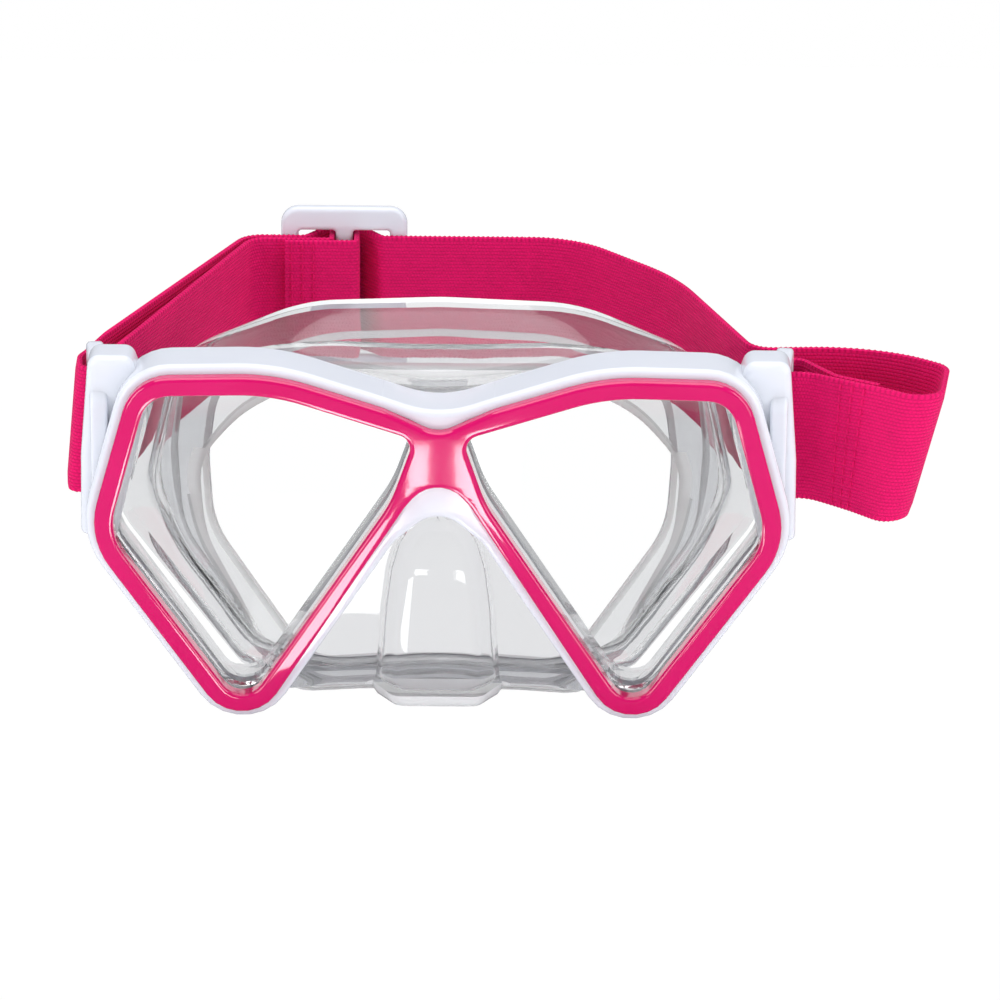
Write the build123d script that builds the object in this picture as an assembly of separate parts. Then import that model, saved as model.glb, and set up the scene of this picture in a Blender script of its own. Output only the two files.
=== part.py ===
from build123d import *
import os
from math import atan2, cos, degrees, hypot, radians, sin, tan

# A two-window snorkel mask, modelled in the mask's own frame: x to the right as seen from the front,
# y from the front to the back, z up along the lenses, with the middle plane at x = 0. At the end the
# whole mask leans forward until it stands on the frame's lower corners and the skirt's lower lip.

# ---- Windows: corners of the right window, as (x, z), and how round each corner is ----
window_inner_top = (5.2, 64.6)
window_brow = (36.0, 74.4)
window_outer_top = (62.3, 73.8)
window_side = (71.0, 42.5)
window_bottom = (42.2, 2.0)
window_arm = (10.3, 50.0)
window_radii = [3.2, 45.0, 6.5, 13.0, 5.0, 30.0]

# ---- Bezel ----
bezel_band = 4.2
bezel_proud = 3.0
bezel_seat_depth = 2.0
bezel_edge_round = 1.4
bridge_dip = 65.6
bridge_shoulder_x = 12.0
bridge_apex = 57.6
bridge_arch_x = 7.0
bridge_arch_z = 49.4
tab_length = 7.0
tab_thickness = 0.8
tab_reach = 4.0
tab_inset = 0.2

# ---- Frame ----
frame_border = 2.0
frame_depth = 14.0
frame_edge_round = 1.5
frame_dip = 69.2
nose_arch_apex = 48.2
nose_arch_x = 9.6
nose_arch_z = 40.2

# ---- Lenses ----
lens_thickness = 3.0
lens_grip_share = 0.636
lens_front = 3.6

# ---- Skirt ----
seat_inset = 0.4
seat_wall = bezel_band - 1.6
lens_grip = lens_grip_share * (seat_wall - seat_inset)
seat_front = 2.1
skirt_wall = 1.8
neck_depth = 4.0
neck_step = 3.2
web_bottom = 4.0
web_half_width = 24.0
corner_lift = 2.2
brow_sag = 4.0
skirt_depth = 46.0
face_half_width = 60.5
face_top = 82.0
lip_width = 9.0
lip_thickness = 1.6
nose_base_half_width = 14.5
nose_top_half_width = 6.0
nose_front = 5.0
nose_base = 0.0
nose_top = 41.0
nose_wall = 1.8
nose_slope = 3.0
nose_corner_share = 0.45

# ---- Strap and lugs ----
strap_width = 30.0
strap_thickness = 1.5
strap_centre = 59.5
strap_rise = 3.5
slot_clearance = 1.5
slot_length = 5.4
lug_inside = window_side[0] + 1.6
lug_thickness = 3.8
lug_splay = 6.0
slot_middle = 18.6
post_depth = 4.2
lug_margin = 2.4
lug_relief = 0.5
sewn_length = 9.0
loop_reach = 12.0
back_straight = 11.5

# ---- Slider ----
slider_x = -23.0
slider_y = 103.0
slider_length = 29.0
slider_bar = 4.0
slider_rail = 4.6
slider_thickness = 3.0
slider_corner = 4.0
end_reach = 2.0
slider_travel_right = 24.0

# ---- Fits ----
gap = 0.05
body_gap = 0.10
lean = 15.0
stitch_size = (1.6, 0.5, 0.4)
stitch_pitch = 2.4
stitch_rows = (1.5, 4.0, 6.5)


# ---- Outlines ----
def offset_corners(points, distance):
    """The corners of a closed outline moved outward by a distance; the points run clockwise."""
    moved = []
    count = len(points)
    for i in range(count):
        before, here, after = points[i - 1], points[i], points[(i + 1) % count]
        a = Vector(here[0] - before[0], here[1] - before[1]).normalized()
        b = Vector(after[0] - here[0], after[1] - here[1]).normalized()
        normal_a, normal_b = Vector(-a.Y, a.X), Vector(-b.Y, b.X)
        half = (normal_a + normal_b).normalized()
        reach = distance / half.dot(normal_a)
        moved.append((here[0] + half.X * reach, here[1] + half.Y * reach))
    return moved


def rounded(points, radii):
    """A flat face with rounded corners."""
    return make_face(FilletPolyline(*points, radius=radii, close=True))


def both_sides(half):
    """A closed outline from its right half, which starts and ends on the middle plane."""
    return half + [(-x, z) for x, z in reversed(half[1:-1])]


def slab(sketch, front, back):
    """The outline as a plate from one depth to another."""
    return extrude(Plane.XZ.offset(-front) * sketch, -(back - front))


def mirrored(shape):
    return mirror(shape, Plane.YZ)


window_corners = [
    window_inner_top,
    window_brow,
    window_outer_top,
    window_side,
    window_bottom,
    window_arm,
]


def window(growth):
    """The right window's outline, grown by a distance all round."""
    radii = [max(r + growth, 0.6) for r in window_radii]
    return rounded(offset_corners(window_corners, growth), radii)


def butterfly(growth, dip, arch, apex, shoulder_x):
    """The outline round both windows, with its own dip above and arch over the nose."""
    inner_top, brow, outer_top, side, bottom, arm = offset_corners(window_corners, growth)
    slope = (brow[1] - inner_top[1]) / (brow[0] - inner_top[0])
    shoulder = (shoulder_x, inner_top[1] + slope * (shoulder_x - inner_top[0]))
    half = [(0, dip), shoulder, brow, outer_top, side, bottom, arch, (0, apex)]
    radii_half = [7.0, 14.0] + [r + growth for r in window_radii[1:5]] + [9.0, 7.0]
    radii = radii_half + list(reversed(radii_half[1:-1]))
    return rounded(both_sides(half), radii)


bezel_outline = butterfly(
    bezel_band, bridge_dip, (bridge_arch_x, bridge_arch_z), bridge_apex, bridge_shoulder_x
)
frame_growth = bezel_band + frame_border
frame_outline = butterfly(
    frame_growth, frame_dip, (nose_arch_x, nose_arch_z), nose_arch_apex, bridge_shoulder_x
)


# ---- Bezel and its clips ----
def clip_tabs(clearance):
    """Flat tabs behind the bezel, one on each straight side of the right window."""
    middle = offset_corners(window_corners, bezel_band - tab_inset - tab_thickness / 2)
    tabs = []
    for i in (1, 2, 3, 4):
        start, end = middle[i], middle[(i + 1) % len(middle)]
        centre = ((start[0] + end[0]) / 2, (start[1] + end[1]) / 2)
        angle = degrees(atan2(end[1] - start[1], end[0] - start[0]))
        blank = Rectangle(tab_length + 2 * clearance, tab_thickness + 2 * clearance)
        placed = Pos(centre[0], centre[1]) * Rot(0, 0, angle) * blank
        tabs.append(slab(placed, bezel_seat_depth, bezel_seat_depth + tab_reach + clearance))
    return tabs


def make_bezel():
    plate = slab(bezel_outline, -bezel_proud, bezel_seat_depth)
    for opening in (window(0), mirrored(window(0))):
        plate -= slab(opening, -bezel_proud, bezel_seat_depth)
    front_edges = plate.edges().filter_by_position(Axis.Y, -bezel_proud - 0.01, -bezel_proud + 0.01)
    plate = fillet(front_edges, bezel_edge_round)
    for tab in clip_tabs(0):
        plate += tab
        plate += mirrored(tab)
    return plate


# ---- Plan of the strap: every strap piece lies in one plane that rises towards the back ----
strap_plane = Plane(
    origin=(0, 0, strap_centre - slot_middle * tan(radians(strap_rise))),
    x_dir=(1, 0, 0),
    z_dir=(0, -sin(radians(strap_rise)), cos(radians(strap_rise))),
)


def upright(sketch, height):
    """A plan outline made into a solid, centred on the strap's middle line."""
    return extrude(strap_plane * sketch, height / 2, both=True)


def side_line(points, distance):
    """An open run of points moved to its left by a distance."""
    moved = []
    last = len(points) - 1
    for i, here in enumerate(points):
        before, after = points[max(i - 1, 0)], points[min(i + 1, last)]
        a = Vector(here[0] - before[0], here[1] - before[1]) if i else None
        b = Vector(after[0] - here[0], after[1] - here[1]) if i < last else None
        a = (a or b).normalized()
        b = (b or a).normalized()
        normal_a, normal_b = Vector(-a.Y, a.X), Vector(-b.Y, b.X)
        half = (normal_a + normal_b).normalized()
        reach = distance / half.dot(normal_a)
        moved.append((here[0] + half.X * reach, here[1] + half.Y * reach))
    return moved


def toward(start, end, distance):
    """The point that far along the straight line from one point to another."""
    share = distance / hypot(end[0] - start[0], end[1] - start[1])
    return (start[0] + share * (end[0] - start[0]), start[1] + share * (end[1] - start[1]))


def band(points, radii):
    """A strap's plan: a strip of the strap's thickness along its middle line."""
    half = strap_thickness / 2
    left_radii, right_radii = [], []
    for i, radius in enumerate(radii, start=1):
        (x0, y0), (x1, y1), (x2, y2) = points[i - 1], points[i], points[i + 1]
        turn = (x1 - x0) * (y2 - y1) - (y1 - y0) * (x2 - x1)
        side = 1 if turn > 0 else -1
        left_radii.append(max(radius - side * half, 0.2))
        right_radii.append(max(radius + side * half, 0.2))
    left, right = side_line(points, half), side_line(points, -half)
    if radii:
        left_edge = FilletPolyline(*left, radius=left_radii)
        right_edge = FilletPolyline(*right, radius=right_radii)
    else:
        left_edge, right_edge = Polyline(*left), Polyline(*right)
    ends = [Line(left[0], right[0]), Line(left[-1], right[-1])]
    return make_face([*left_edge.edges(), *right_edge.edges(), *[e.edge() for e in ends]])


# ---- Frame with its lugs ----
slot_front = slot_middle - slot_length / 2
slot_back = slot_middle + slot_length / 2
lug_back = slot_back + post_depth
slot_height = strap_width + 2 * slot_clearance
lug_height = slot_height + 2 * lug_margin


def lug_x(depth):
    """The inner side of the right lug at a depth: it leans outward towards the back."""
    return lug_inside + (depth - slot_middle) * tan(radians(lug_splay))


def make_lug():
    front = frame_edge_round + 2.0
    plan = [
        (lug_x(front), front),
        (lug_x(lug_back), lug_back),
        (lug_x(lug_back) + lug_thickness, lug_back),
        (lug_x(front) + lug_thickness, front),
    ]
    plate = upright(rounded(plan, [0.4, 1.2, 1.2, 0.4]), lug_height)
    reach = 3 * lug_thickness
    hole = Pos(lug_inside, slot_middle) * Rectangle(2 * reach, slot_length)
    return plate - upright(hole, slot_height)


def make_frame():
    ring = slab(frame_outline, 0, frame_depth)
    front_edges = ring.edges().filter_by_position(Axis.Y, -0.01, 0.01)
    ring = fillet(front_edges, frame_edge_round)
    lug = make_lug()
    ring += lug
    ring += mirrored(lug)
    ring -= slab(bezel_outline, -1, bezel_seat_depth)
    for bore in (window(seat_wall), mirrored(window(seat_wall))):
        ring -= slab(bore, 0, frame_depth + 8)
    for pocket in clip_tabs(gap):
        ring -= pocket
        ring -= mirrored(pocket)
    return ring


# ---- Lenses ----
def make_lens(side):
    lens = slab(window(seat_inset + lens_grip), lens_front, lens_front + lens_thickness)
    lens = chamfer(lens.edges(), 0.3)
    return lens if side > 0 else mirrored(lens)


# ---- Skirt ----
# The lower lip is as low as the lean needs, so that it meets the table with the frame's corners.
frame_bottom = (Plane.XZ * frame_outline).bounding_box().min.Z
face_bottom = frame_bottom - skirt_depth * tan(radians(lean))


def front_section(growth):
    """The skirt's outline just behind the frame, straight across below the nose."""
    brow, outer_top, side, bottom = offset_corners(window_corners, growth)[1:5]
    web = web_bottom - growth
    bottom = (bottom[0], bottom[1] + corner_lift)
    half = [(0, brow[1] - brow_sag), brow, outer_top, side, bottom, (web_half_width, web), (0, web + 1.0)]
    radii_half = [60, 12, 9, 12, 6, 12, 60]
    return both_sides(half), radii_half + list(reversed(radii_half[1:-1]))


def face_section(inset):
    """The outline of the edge that seals on the face."""
    wide = face_half_width - inset
    high, low = face_top - inset, face_bottom + inset
    tall = high - low
    half = [
        (0, high),
        (0.50 * wide, high - 1.2),
        (0.90 * wide, high - 0.135 * tall),
        (wide, low + 0.66 * tall),
        (0.98 * wide, low + 0.42 * tall),
        (0.56 * wide, low),
        (0.30 * wide, low + 1.0),
        (0, low + 1.4),
    ]
    radii_half = [60, 50, 22, 30, 22, 9, 30, 60]
    return both_sides(half), radii_half + list(reversed(radii_half[1:-1]))


def at_depth(section, depth):
    return Plane.XZ.offset(-depth) * rounded(*section)


def nose_bell(inset, back):
    """The nose pocket's outside, or with an inset its inside: a bell that widens downward."""
    sections = []
    for half_width, front, height in (
        (nose_base_half_width - inset, nose_front + inset, nose_base + inset),
        (nose_top_half_width - inset, nose_front + nose_slope + inset, nose_top - inset),
    ):
        plan = [(-half_width, back), (-half_width, front), (half_width, front), (half_width, back)]
        corner = nose_corner_share * half_width
        sections.append(Pos(0, 0, height) * rounded(plan, [0.3, corner, corner, 0.3]))
    return loft(sections)


def make_skirt():
    front = frame_depth + gap
    inside = front + skirt_wall
    neck = front + neck_depth
    lip_front = skirt_depth - lip_thickness
    neck_growth = seat_wall - neck_step
    sections = [(front, front_section(seat_wall)), (neck, front_section(neck_growth))]
    sections.append((skirt_depth, face_section(0)))
    inner = [(inside, front_section(neck_growth)), (neck, front_section(neck_growth - skirt_wall))]
    inner.append((lip_front, face_section(skirt_wall)))
    skirt = loft([at_depth(section, depth) for depth, section in sections], ruled=True)
    skirt += nose_bell(0, inside)
    skirt -= loft([at_depth(section, depth) for depth, section in inner], ruled=True)
    skirt -= nose_bell(nose_wall, inside + 1)
    skirt -= slab(rounded(*face_section(lip_width)), lip_front - 1, skirt_depth + 1)
    groove_growth = seat_inset + lens_grip
    for side in (1, -1):
        seat = slab(window(seat_wall - gap), seat_front, front + gap)
        tunnel = slab(window(seat_inset), seat_front - 1, inside + 0.3)
        groove = slab(window(groove_growth + gap), lens_front - gap, lens_front + lens_thickness + gap)
        if side < 0:
            seat, tunnel, groove = mirrored(seat), mirrored(tunnel), mirrored(groove)
        skirt += seat
        skirt -= tunnel
        skirt -= groove
    return skirt


# ---- Slider: a frame with three upright bars ----
slot_pitch = (slider_length - 3 * slider_bar) / 2
bar_offset = slider_bar + slot_pitch
slider_height = strap_width + 2 * slot_clearance + 2 * slider_rail
inner_face = slider_y - slider_thickness / 2
outer_face = slider_y + slider_thickness / 2


def make_slider():
    body = upright(Pos(slider_x, slider_y) * Rectangle(slider_length, slider_thickness), slider_height)
    body = fillet(body.edges().filter_by(Axis(strap_plane.origin, strap_plane.y_dir)), slider_corner)
    for side in (-1, 1):
        middle = slider_x + side * bar_offset / 2
        hole = Pos(middle, slider_y) * Rectangle(slot_pitch, 3 * slider_thickness)
        body -= upright(hole, strap_width + 2 * slot_clearance)
    return chamfer(body.edges().group_by(SortBy.LENGTH)[-1], 0.4)


# ---- Strap routes, as (x, depth) along the strap's middle line ----
layer = strap_thickness + body_gap
on_bar = inner_face - body_gap - strap_thickness / 2
behind_bar = outer_face + layer + body_gap + strap_thickness / 2
left_end = slider_x - slider_length / 2 - end_reach
right_end = slider_x + slider_length / 2 + end_reach
slot_left = slider_x - bar_offset / 2
slot_right = slider_x + bar_offset / 2
loop_half = slider_bar / 2 + body_gap + strap_thickness / 2

through_route = [
    (right_end, on_bar),
    (slot_right + 2.6, on_bar),
    (slot_right - 2.2, behind_bar),
    (slot_left + 2.2, behind_bar),
    (slot_left - 2.6, on_bar),
    (left_end, on_bar),
]
sewn_entry = on_bar - layer
sewn_fold = sewn_entry - layer
loop_outside = outer_face + body_gap + strap_thickness / 2
sewn_route = [
    (left_end, sewn_entry),
    (slider_x - loop_half, sewn_entry),
    (slider_x - loop_half, loop_outside),
    (slider_x + loop_half, loop_outside),
    (slider_x + loop_half, sewn_fold),
    (slider_x - slider_length / 2 + 1.0, sewn_fold),
]

back_start = slider_x + slider_length / 2 + end_reach + slider_travel_right + 1.0
right_route = [
    (back_start, on_bar),
    (back_start + back_straight, on_bar),
    (face_half_width - 8.0, skirt_depth + 30.0),
    (lug_inside - 4.0, 32.6),
    (lug_inside + 20.4, 34.0),
    (lug_inside + 34.4, 23.0),
    (lug_inside + 31.4, 1.8),
    (lug_inside + 19.4, 11.0),
    (lug_inside + 7.9, slot_middle),
    (lug_x(slot_middle) + lug_thickness / 2, slot_middle),
]
right_radii = [22.0, 50.0, 6.0, 30.0, 5.0, 5.0, 40.0, 8.0]

post_inside = lug_x(lug_back) - lug_relief - strap_thickness / 2
post_behind = lug_back + lug_relief + strap_thickness / 2
front_layer = right_route[-4:]
tail = side_line(front_layer, -layer)
wrap_route = [
    right_route[-1],
    (post_inside, slot_middle),
    (post_inside, post_behind),
    (lug_x(lug_back) + lug_thickness + 2.0, post_behind),
    toward(tail[1], tail[2], sewn_length),
    tail[1],
]

# The left loop hangs a little slack, outside its post.
outer_slack = (-lug_inside - 7.3, slot_back + 3.2)
outer_turn = (-lug_inside - 6.4, slot_middle - 0.7)
inner_turn = (1.0 - post_inside, lug_back + 4.4)
outer_far = (left_end - 6.0, on_bar)
inner_far = (left_end - 4.6, sewn_entry)
left_loop_route = [
    toward(outer_slack, outer_far, loop_reach),
    outer_slack,
    outer_turn,
    (-post_inside, slot_middle),
    inner_turn,
    toward(inner_turn, inner_far, loop_reach / 2),
]
left_outer_route = [(left_end, on_bar), outer_far, left_loop_route[0]]
left_inner_route = [(left_end, sewn_entry), inner_far, left_loop_route[-1]]


def strap(points, radii):
    return upright(band(points, radii), strap_width)


def stitches(columns, depth, facing):
    """Upright rows of short stitches lying on a strap's face."""
    long, wide, thick = stitch_size
    count = int(strap_width / stitch_pitch)
    threads = []
    for x in columns:
        for i in range(count):
            height = (i - (count - 1) / 2) * stitch_pitch
            place = strap_plane * Location((x, depth + facing * thick / 2, height))
            threads.append(place * Box(wide, thick, long))
    return Compound(children=threads)


left_edge_of_fold = slider_x - slider_length / 2 + 1.0


def lug_stitches():
    """Upright rows of stitches on the front layer, where the end is sewn back on it."""
    front_face = side_line(front_layer, strap_thickness / 2)
    long, wide, thick = stitch_size
    count = int(strap_width / stitch_pitch)
    along = Vector(front_face[2][0] - front_face[1][0], front_face[2][1] - front_face[1][1])
    angle = degrees(atan2(along.Y, along.X))
    threads = []
    for reach in stitch_rows:
        x, depth = toward(front_face[1], front_face[2], reach)
        for i in range(count):
            height = (i - (count - 1) / 2) * stitch_pitch
            place = strap_plane * Location((x, depth, height), (0, 0, angle))
            threads.append(place * Pos(0, thick / 2, 0) * Box(wide, thick, long))
    return Compound(children=threads)


mask = {
    "front_bezel": make_bezel(),
    "frame": make_frame(),
    "lens_left": make_lens(-1),
    "lens_right": make_lens(1),
    "skirt": make_skirt(),
    "slider": make_slider(),
    "strap_through_slider": strap(through_route, [1.6] * 4),
    "strap_sewn_end": strap(sewn_route, [0.9] * 4),
    "strap_back": strap([(right_end, on_bar), (back_start, on_bar)], []),
    "strap_right_run": strap(right_route, right_radii),
    "strap_right_wrap": strap(wrap_route, [1.0, 1.0, 3.0, 3.0]),
    "strap_left_outer": strap(left_outer_route, [6.0]),
    "strap_left_inner": strap(left_inner_route, [5.0]),
    "strap_left_loop": strap(left_loop_route, [6.0, 2.2, 1.2, 8.0]),
    "slider_stitching": stitches(
        [left_edge_of_fold + offset for offset in stitch_rows], sewn_fold - strap_thickness / 2, -1
    ),
    "lug_stitching": lug_stitches(),
}


# ---- Standing on the table ----
def stand(shape):
    """Leans the mask forward and sets it down, with its middle plane at x = 0."""
    return Pos(0, 0, -table_height) * shape.rotate(Axis.X, lean)


table_height = min(shape.rotate(Axis.X, lean).bounding_box().min.Z for shape in mask.values())
os.makedirs("parts", exist_ok=True)
for name, shape in mask.items():
    export_step(stand(shape), "parts/" + name + ".step")
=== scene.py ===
import bpy, bmesh
import numpy as np
from math import atan2, cos, pi, radians, sin, tan
from mathutils import Matrix, Vector


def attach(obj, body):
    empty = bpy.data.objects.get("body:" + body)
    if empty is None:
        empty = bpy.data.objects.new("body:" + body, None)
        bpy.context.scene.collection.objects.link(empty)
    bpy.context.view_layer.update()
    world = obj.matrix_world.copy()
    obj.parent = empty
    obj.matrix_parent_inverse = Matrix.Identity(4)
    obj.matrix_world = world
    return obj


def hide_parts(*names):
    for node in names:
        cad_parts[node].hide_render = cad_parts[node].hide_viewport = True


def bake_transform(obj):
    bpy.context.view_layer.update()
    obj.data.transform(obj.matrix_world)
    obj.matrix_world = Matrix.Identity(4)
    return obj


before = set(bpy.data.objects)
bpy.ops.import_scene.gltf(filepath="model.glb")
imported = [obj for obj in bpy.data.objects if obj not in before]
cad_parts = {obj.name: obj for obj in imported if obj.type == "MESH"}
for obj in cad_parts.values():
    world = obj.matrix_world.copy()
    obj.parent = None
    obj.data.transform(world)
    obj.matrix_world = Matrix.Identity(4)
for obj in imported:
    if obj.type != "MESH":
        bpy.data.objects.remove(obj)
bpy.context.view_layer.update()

# ---- Studio ----
# A pale table that runs out to a white room, lit by one wide softbox overhead and tall ones
# at the sides, as a product table is. The camera stands level with the mask and looks slightly down.
bpy.context.scene.view_settings.view_transform = "Standard"
view_height, view_side, view_far, aim_depth = 0.0487, 0.0124, 1.25, -0.0104
view_tilt, view_roll = radians(4.5), radians(-0.55)
sensor_width, seen_width = 36.0, 0.2157
bpy.ops.object.camera_add(
    location=(view_side, aim_depth - view_far * cos(view_tilt), view_height + view_far * sin(view_tilt)),
    rotation=(pi / 2 - view_tilt, view_roll, 0),
)
camera = bpy.context.object
camera.data.sensor_width = sensor_width
camera.data.lens = sensor_width * view_far / seen_width
camera.data.clip_start = 0.01
bpy.context.scene.camera = camera


def dial(node, **settings):
    """Sets a node's inputs by name, with _ for each space."""
    for label, value in settings.items():
        node.inputs[label.replace("_", " ")].default_value = value


def wire(tree, *pairs):
    for source, target in pairs:
        tree.links.new(source, target)


def maths(tree, operation, *values):
    node = tree.nodes.new("ShaderNodeMath")
    node.operation = operation
    for i, value in enumerate(values):
        if isinstance(value, (int, float)):
            node.inputs[i].default_value = value
        else:
            tree.links.new(value, node.inputs[i])
    return node.outputs[0]


def color_mix(tree, share, first, second):
    """A blend of two colours, each a socket or a plain colour."""
    node = tree.nodes.new("ShaderNodeMix")
    node.data_type = "RGBA"
    tree.links.new(share, node.inputs[0])
    for socket, value in ((node.inputs[6], first), (node.inputs[7], second)):
        if isinstance(value, tuple):
            socket.default_value = (*value, 1)
        else:
            tree.links.new(value, socket)
    return node.outputs[2]


def new_material(name):
    material = bpy.data.materials.new(name)
    material.use_nodes = True
    return material, material.node_tree, material.node_tree.nodes["Principled BSDF"]


room_color, room_strength, mirror_loss = (0.90, 0.93, 1.0, 1), 0.60, -0.46
room = bpy.data.worlds.new("white_room")
bpy.context.scene.world = room
room.use_nodes = True
air = room.node_tree
air.nodes.clear()
sky_out = air.nodes.new("ShaderNodeOutputWorld")
seen, lighting = air.nodes.new("ShaderNodeBackground"), air.nodes.new("ShaderNodeBackground")
dial(seen, Color=(1, 1, 1, 1))
dial(lighting, Color=room_color)
ray = air.nodes.new("ShaderNodeLightPath").outputs
straight = maths(air, "MAXIMUM", ray["Is Camera Ray"], ray["Is Transmission Ray"])
shine = maths(air, "MULTIPLY_ADD", ray["Is Glossy Ray"], mirror_loss, room_strength)
blend_sky = air.nodes.new("ShaderNodeMixShader")
wire(
    air,
    (shine, lighting.inputs["Strength"]),
    (straight, blend_sky.inputs[0]),
    (lighting.outputs[0], blend_sky.inputs[1]),
    (seen.outputs[0], blend_sky.inputs[2]),
    (blend_sky.outputs[0], sky_out.inputs[0]),
)


def softbox(name, place, aim, width, height, power):
    bpy.ops.object.light_add(type="AREA", location=place)
    lamp = bpy.context.object
    lamp.name = name
    lamp.data.shape = "RECTANGLE"
    lamp.data.size, lamp.data.size_y = width, height
    lamp.data.energy = power
    lamp.rotation_euler = (Vector(aim) - Vector(place)).to_track_quat("-Z", "Y").to_euler()
    lamp.visible_camera = False
    return lamp


def shine_card(name, left, right, near, far, power):
    """A bright card lying on the table, seen only as a highlight in glossy surfaces."""
    middle = ((left + right) / 2, (near + far) / 2, 0.001)
    card = softbox(name, middle, (middle[0], middle[1], 1.0), right - left, far - near, power)
    card.visible_diffuse = card.visible_transmission = False


softbox("overhead_box", (0.0, -0.1, 0.75), (0, 0.02, 0.04), 0.8, 0.7, 4.0)
softbox("left_box", (-0.50, -0.34, 0.10), (0, 0, 0.04), 0.16, 0.5, 1.3)
softbox("right_box", (0.52, -0.30, 0.22), (0, 0, 0.05), 0.16, 0.5, 1.1)
shine_card("left_arm_card", -0.042, -0.0095, -0.080, -0.020, 0.060)
shine_card("bridge_card", -0.0085, -0.0035, -0.108, -0.085, 0.0045)
shine_card("right_arm_card", 0.0035, 0.018, -0.108, -0.074, 0.018)

table_width, table_top = 80, -0.0002
bpy.ops.object.select_all(action="DESELECT")
bpy.ops.mesh.primitive_plane_add(size=table_width, location=(0, 0, table_top))
table = bpy.context.object
table.name = "table_top"

# The paper shows as plain white where it is looked at, straight or through something clear, and
# goes dim in reflections, so that the glossy mouldings keep their dark side.
paper, leaf, paper_skin = new_material("pale_paper")
ray = leaf.nodes.new("ShaderNodeLightPath").outputs
straight = maths(leaf, "MAXIMUM", ray["Is Camera Ray"], ray["Is Transmission Ray"])
mirrored = maths(leaf, "GREATER_THAN", ray["Is Glossy Ray"], ray["Is Transmission Ray"])
scattered = maths(leaf, "MULTIPLY", ray["Is Diffuse Ray"], 0.30)
lit_paper = color_mix(leaf, mirrored, (0.95, 0.955, 0.96), (0.25, 0.25, 0.26))
wire(
    leaf,
    (maths(leaf, "MAXIMUM", straight, scattered), paper_skin.inputs["Emission Strength"]),
    (color_mix(leaf, straight, lit_paper, (0, 0, 0)), paper_skin.inputs["Base Color"]),
)
dial(paper_skin, Roughness=0.9, Specular_IOR_Level=0.1, Emission_Color=(1, 1, 1, 1))
table.data.materials.append(paper)

# ---- Front bezel ----
# The glossy pink trim round both windows: one ABS moulding with rounded edges, pressed into
# a shallow seat in the white frame. Sizes are millimetres with the lenses upright, and each
# finished piece is then leaned forward on to the table.
lean, table_clearance = radians(15.0), 0.0002
stand = Matrix.Translation((0, 0, table_clearance)) @ Matrix.Rotation(lean, 4, "X") @ Matrix.Scale(0.001, 4)
window_corners = [(5.2, 64.6), (36.0, 74.4), (62.3, 73.8), (71.0, 42.5), (42.2, 2.0), (10.3, 50.0)]
window_radii = [3.2, 45.0, 6.5, 13.0, 5.0, 30.0]
smallest_radius = 0.6
bezel_band, bezel_front, bezel_back, bezel_edge = 4.2, -3.0, 2.0, 1.1


def grown(points, distance):
    """The corners of a closed outline moved outward; the points run clockwise."""
    moved, count = [], len(points)
    for i in range(count):
        before, here, after = (Vector(points[j % count]) for j in (i - 1, i, i + 1))
        a, b = (here - before).normalized(), (after - here).normalized()
        side_a, side_b = Vector((-a.y, a.x)), Vector((-b.y, b.x))
        half = (side_a + side_b).normalized()
        moved.append(tuple(here + half * distance / half.dot(side_a)))
    return moved


def window(growth):
    return grown(window_corners, growth), [max(r + growth, smallest_radius) for r in window_radii]


def mirrored_loop(loop):
    corners, radii = loop
    return [(-x, z) for x, z in reversed(corners)], list(reversed(radii))


def both_windows(growth):
    return [window(growth), mirrored_loop(window(growth))]


def both_sides(half, half_radii):
    """A closed outline from its right half, which starts and ends on the middle line."""
    return (
        half + [(-x, z) for x, z in reversed(half[1:-1])],
        half_radii + list(reversed(half_radii[1:-1])),
    )


def butterfly(growth, dip, arch, apex, dip_radius):
    """The outline round both windows, with a dip above and an arch over the nose."""
    inner_top, brow, outer_top, side, bottom = grown(window_corners, growth)[:5]
    slope = (brow[1] - inner_top[1]) / (brow[0] - inner_top[0])
    shoulder_x, shoulder_radius, arch_radii = 12.0, 14.0, [9.0, 7.0]
    shoulder = (shoulder_x, inner_top[1] + slope * (shoulder_x - inner_top[0]))
    half = [(0, dip), shoulder, brow, outer_top, side, bottom, arch, (0, apex)]
    return both_sides(half, [dip_radius, shoulder_radius] + [r + growth for r in window_radii[1:5]] + arch_radii)


def add_loop(curve, corners, radii, turn_round=False):
    """A closed spline through straight runs and round corners."""
    if turn_round:
        corners, radii = list(reversed(corners)), list(reversed(radii))
    straight_pull = 0.5
    count = len(corners)
    knots = []
    for i in range(count):
        before, here, after = (Vector(corners[j % count]) for j in (i - 1, i, i + 1))
        a, b = (here - before).normalized(), (after - here).normalized()
        turn = abs(a.angle(b))
        reach = radii[i] * tan(turn / 2)
        pull = 4 / 3 * tan(turn / 4) * radii[i]
        knots.append((here - a * reach, a, straight_pull, pull))
        knots.append((here + b * reach, b, pull, straight_pull))
    spline = curve.splines.new("BEZIER")
    spline.bezier_points.add(len(knots) - 1)
    for knot, (point, along, back_pull, fore_pull) in zip(spline.bezier_points, knots):
        knot.handle_left_type = knot.handle_right_type = "FREE"
        knot.co = point.to_3d()
        knot.handle_left = (point - along * back_pull).to_3d()
        knot.handle_right = (point + along * fore_pull).to_3d()
    spline.use_cyclic_u = True
    spline.resolution_u = 7


def pick_out(*pieces):
    """Selects these pieces alone, the first one active."""
    bpy.ops.object.select_all(action="DESELECT")
    for piece in pieces:
        piece.select_set(True)
    bpy.context.view_layer.objects.active = pieces[0]


def tidy_mesh(piece):
    """Seams closed and faces turned outward."""
    pick_out(piece)
    bpy.ops.object.mode_set(mode="EDIT")
    bpy.ops.mesh.select_all(action="SELECT")
    bpy.ops.mesh.remove_doubles(threshold=0.004)
    bpy.ops.mesh.normals_make_consistent(inside=False)
    bpy.ops.object.mode_set(mode="OBJECT")


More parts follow.
